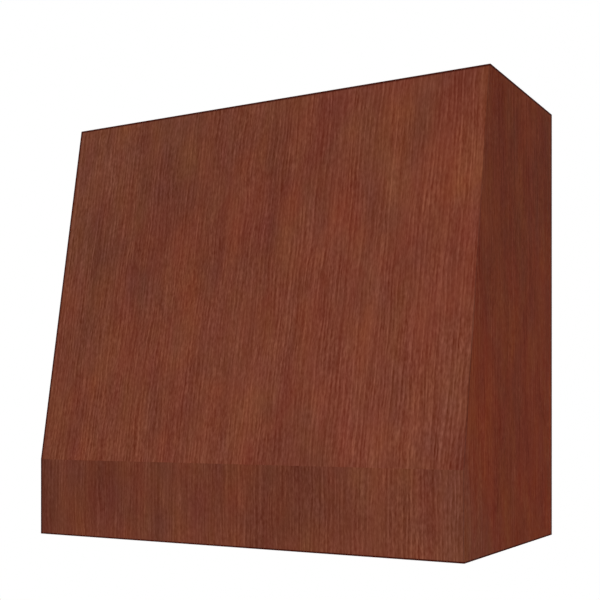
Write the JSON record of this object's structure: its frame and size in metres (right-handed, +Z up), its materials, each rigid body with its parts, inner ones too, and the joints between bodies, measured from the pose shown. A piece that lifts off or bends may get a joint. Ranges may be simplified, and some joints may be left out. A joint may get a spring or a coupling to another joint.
{
  "type": "wooden range hood cover",
  "caption": "Wall-hung wooden cover for a kitchen range hood: upright apron, front leaning back above it, mitred corners, open below for a ventilator insert, duct hole on top.",
  "frame": {"origin": "where the cover meets the wall: middle of the width, on the wall face of the lower back rail, level with the bottom edges", "axes": "+X across to the right seen from the front, +Y back into the wall, +Z up; the front faces -Y"},
  "size_m": [0.9144, 0.49, 0.848],
  "materials": {
    "stained_veneer": "reddish-brown stained veneer, upright grain, satin lacquer",
    "stained_edge_band": "solid-wood edge band in the same stain, darker, satin lacquer",
    "birch_plywood": "birch plywood, sanded, clear sealed",
    "poplar": "planed, unfinished",
    "beech_dowel": "plain",
    "zinc_steel": "bright zinc plated"
  },
  "bodies": {
    "wall_cleat": {"wall_cleat": "poplar"},
    "cover": {"left_side_panel": "stained_veneer", "right_side_panel": "stained_veneer", "sloped_front_panel": "stained_veneer", "front_apron": "stained_veneer", "edge_band_front": "stained_edge_band", "edge_band_left": "stained_edge_band", "edge_band_right": "stained_edge_band", "top_panel": "birch_plywood", "liner_shelf": "birch_plywood", "upper_back_rail": "poplar", "lower_back_rail": "poplar", "hook_cleat": "poplar", "shelf_ledger_front": "poplar", "shelf_ledger_back": "poplar", "shelf_ledger_left": "poplar", "shelf_ledger_right": "poplar", "crease_batten": "poplar", "top_front_batten": "poplar", "corner_blocks_left": "poplar", "corner_blocks_right": "poplar", "rail_dowels": "beech_dowel", "top_panel_screws": "zinc_steel", "hook_cleat_screws": "zinc_steel", "ledger_screws": "zinc_steel", "liner_shelf_screws": "zinc_steel", "crease_batten_screws": "zinc_steel", "top_batten_screws": "zinc_steel", "shelf_screw_washers": "zinc_steel"}
  },
  "joints": [
    {"name": "cover_lift", "type": "slide", "parent": "wall_cleat", "child": "cover", "axis": [0, -0.7071, 0.7071], "range_m": [0, 0.04]}
  ]
}
